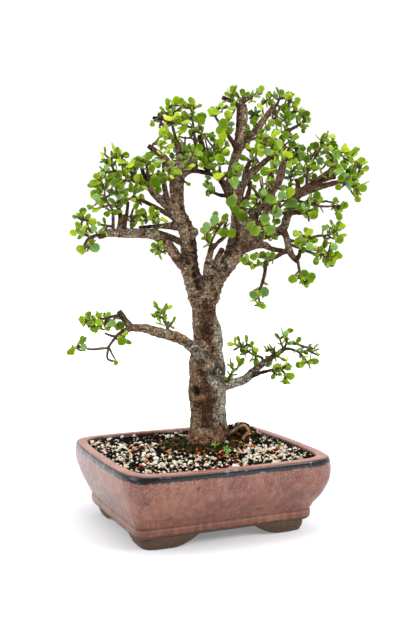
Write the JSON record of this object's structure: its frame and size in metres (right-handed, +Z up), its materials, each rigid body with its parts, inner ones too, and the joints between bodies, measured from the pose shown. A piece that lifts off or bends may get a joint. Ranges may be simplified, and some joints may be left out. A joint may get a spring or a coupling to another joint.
{
  "type": "dwarf jade bonsai in a pot",
  "caption": "Dwarf jade bonsai with a thick trunk, two main limbs and small fleshy leaves, in a glazed rectangular bracket-foot pot filled with grit.",
  "frame": {"origin": "on the floor under the middle of the whole object's box", "axes": "+Z up, X along the long side of the pot, -Y towards the side with the near foot at its left"},
  "size_m": [0.3208, 0.2466, 0.5195],
  "materials": {
    "pot_glaze": "glossy mottled glaze, bare brown clay on the feet",
    "screen_mesh": "moulded mesh",
    "soil_grit": "loose grains of lava and pumice",
    "bark": "rough bark with fine cross wrinkles",
    "leaf_green": "smooth fleshy leaf with a soft sheen",
    "weed_green": "smooth young leaf"
  },
  "bodies": {
    "root": {"pot": "pot_glaze", "drain_screen_left": "screen_mesh", "drain_screen_right": "screen_mesh", "weed_seedling_front": "weed_green", "weed_seedling_trunk": "weed_green", "soil": "soil_grit", "tree_wood": "bark", "shoot_low_left_branch_end": "leaf_green", "shoot_low_left_branch_rise": "leaf_green", "shoot_low_left_branch_fan": "leaf_green", "shoot_left_outer_end": "leaf_green", "shoot_left_outer_middle": "leaf_green", "shoot_left_outer_inner": "leaf_green", "shoot_left_rise_end": "leaf_green", "shoot_left_low_bend": "leaf_green", "shoot_left_low_middle": "leaf_green", "shoot_left_low_sucker": "leaf_green", "shoot_left_top": "leaf_green", "shoot_left_top_right": "leaf_green", "shoot_left_inner_end": "leaf_green", "shoot_left_upright_side": "leaf_green", "shoot_left_upright_low": "leaf_green", "shoot_front_left_cloud": "leaf_green", "shoot_back_left_cloud": "leaf_green", "shoot_fork_shoot_end": "leaf_green", "shoot_centre_twig_end": "leaf_green", "shoot_centre_left": "leaf_green", "shoot_centre_top": "leaf_green", "shoot_centre_right_end": "leaf_green", "shoot_centre_right_low": "leaf_green", "shoot_right_upright_rise": "leaf_green", "shoot_right_upright_end": "leaf_green", "shoot_right_upright_side": "leaf_green", "shoot_centre_front_end": "leaf_green", "shoot_centre_front_middle": "leaf_green", "shoot_centre_low": "leaf_green", "shoot_back_cloud": "leaf_green", "shoot_front_cloud": "leaf_green", "shoot_right_rise_side": "leaf_green", "shoot_right_far_rise_end": "leaf_green", "shoot_right_far_end": "leaf_green", "shoot_right_upright_low": "leaf_green", "shoot_right_arch_end": "leaf_green", "shoot_right_outer_twig": "leaf_green", "shoot_right_outer_low": "leaf_green", "shoot_right_upright_base": "leaf_green", "shoot_right_low_twig": "leaf_green", "shoot_right_low_outer": "leaf_green", "shoot_right_low_end": "leaf_green", "shoot_right_low_left_end": "leaf_green", "shoot_low_left_end": "leaf_green", "shoot_low_left_drop": "leaf_green", "shoot_low_left_shoot": "leaf_green", "shoot_low_right_base": "leaf_green", "shoot_low_right_diagonal": "leaf_green", "shoot_low_right_middle": "leaf_green", "shoot_low_right_end": "leaf_green", "shoot_low_right_dark_end": "leaf_green"}
  },
  "joints": []
}
